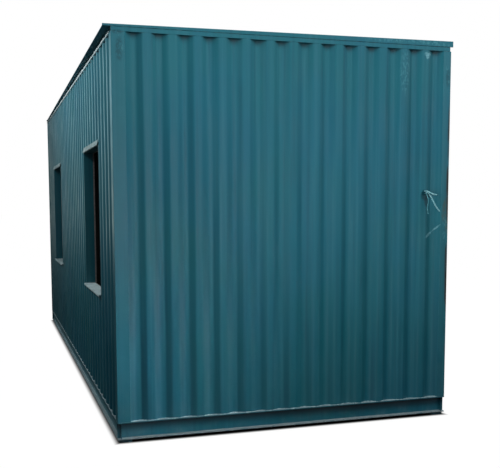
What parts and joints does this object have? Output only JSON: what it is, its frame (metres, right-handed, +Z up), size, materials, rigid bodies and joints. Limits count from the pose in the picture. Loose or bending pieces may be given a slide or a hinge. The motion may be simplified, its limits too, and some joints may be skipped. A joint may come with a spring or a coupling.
{
  "type": "shipping container cabin",
  "caption": "Corrugated steel container cabin on a channel base, with empty window openings in its long walls, a lined room inside and a ribbed roof.",
  "frame": {"origin": "ground level, in the middle of the cabin's box without its cable tails", "axes": "+Z up, -Y out of the plain front end wall, -X out of the long wall whose windows the picture shows"},
  "size_m": [2.518, 6.1922, 2.7291],
  "materials": {
    "enamel": "semi-gloss teal enamel",
    "base_enamel": "semi-gloss teal enamel, dusty and worn",
    "roof_enamel": "weathered teal enamel",
    "primer": "matt primer",
    "flashing": "dusty pale grey",
    "board": "plain board",
    "deck": "worn plywood",
    "gland": "matt dark",
    "cable": "dusty blue-grey sheath"
  },
  "bodies": {
    "root": {"corner_post_front_left": "enamel", "corner_post_front_right": "enamel", "corner_post_back_left": "enamel", "corner_post_back_right": "enamel", "top_rail_front": "enamel", "top_rail_back": "enamel", "top_rail_left": "enamel", "top_rail_right": "enamel", "front_wall": "enamel", "back_wall": "enamel", "left_wall_piers": "enamel", "left_wall_under_windows": "enamel", "left_wall_over_openings": "enamel", "right_wall_piers": "enamel", "right_wall_under_windows": "enamel", "right_wall_over_openings": "enamel", "window_frame_left_front": "enamel", "window_frame_left_back": "enamel", "window_frame_right_front": "enamel", "window_frame_right_back": "enamel", "door_frame": "enamel", "base_channel_left": "base_enamel", "base_channel_right": "base_enamel", "base_channel_front": "base_enamel", "base_channel_back": "base_enamel", "foot_plates": "base_enamel", "roof_sheet": "roof_enamel", "roof_fascia_front": "roof_enamel", "roof_fascia_back": "roof_enamel", "floor_joists": "primer", "roof_bows": "primer", "window_sills_left": "flashing", "window_sills_right": "flashing", "window_drips_left": "flashing", "window_drips_right": "flashing", "front_lining": "board", "back_lining": "board", "left_lining_piers": "board", "left_lining_under_windows": "board", "left_lining_over_openings": "board", "right_lining_piers": "board", "right_lining_under_windows": "board", "right_lining_over_openings": "board", "ceiling_board": "board", "floor_deck": "deck", "cable_gland": "gland", "cable_tail_upper": "cable", "cable_tail_middle": "cable", "cable_tail_lower": "cable"}
  },
  "joints": []
}
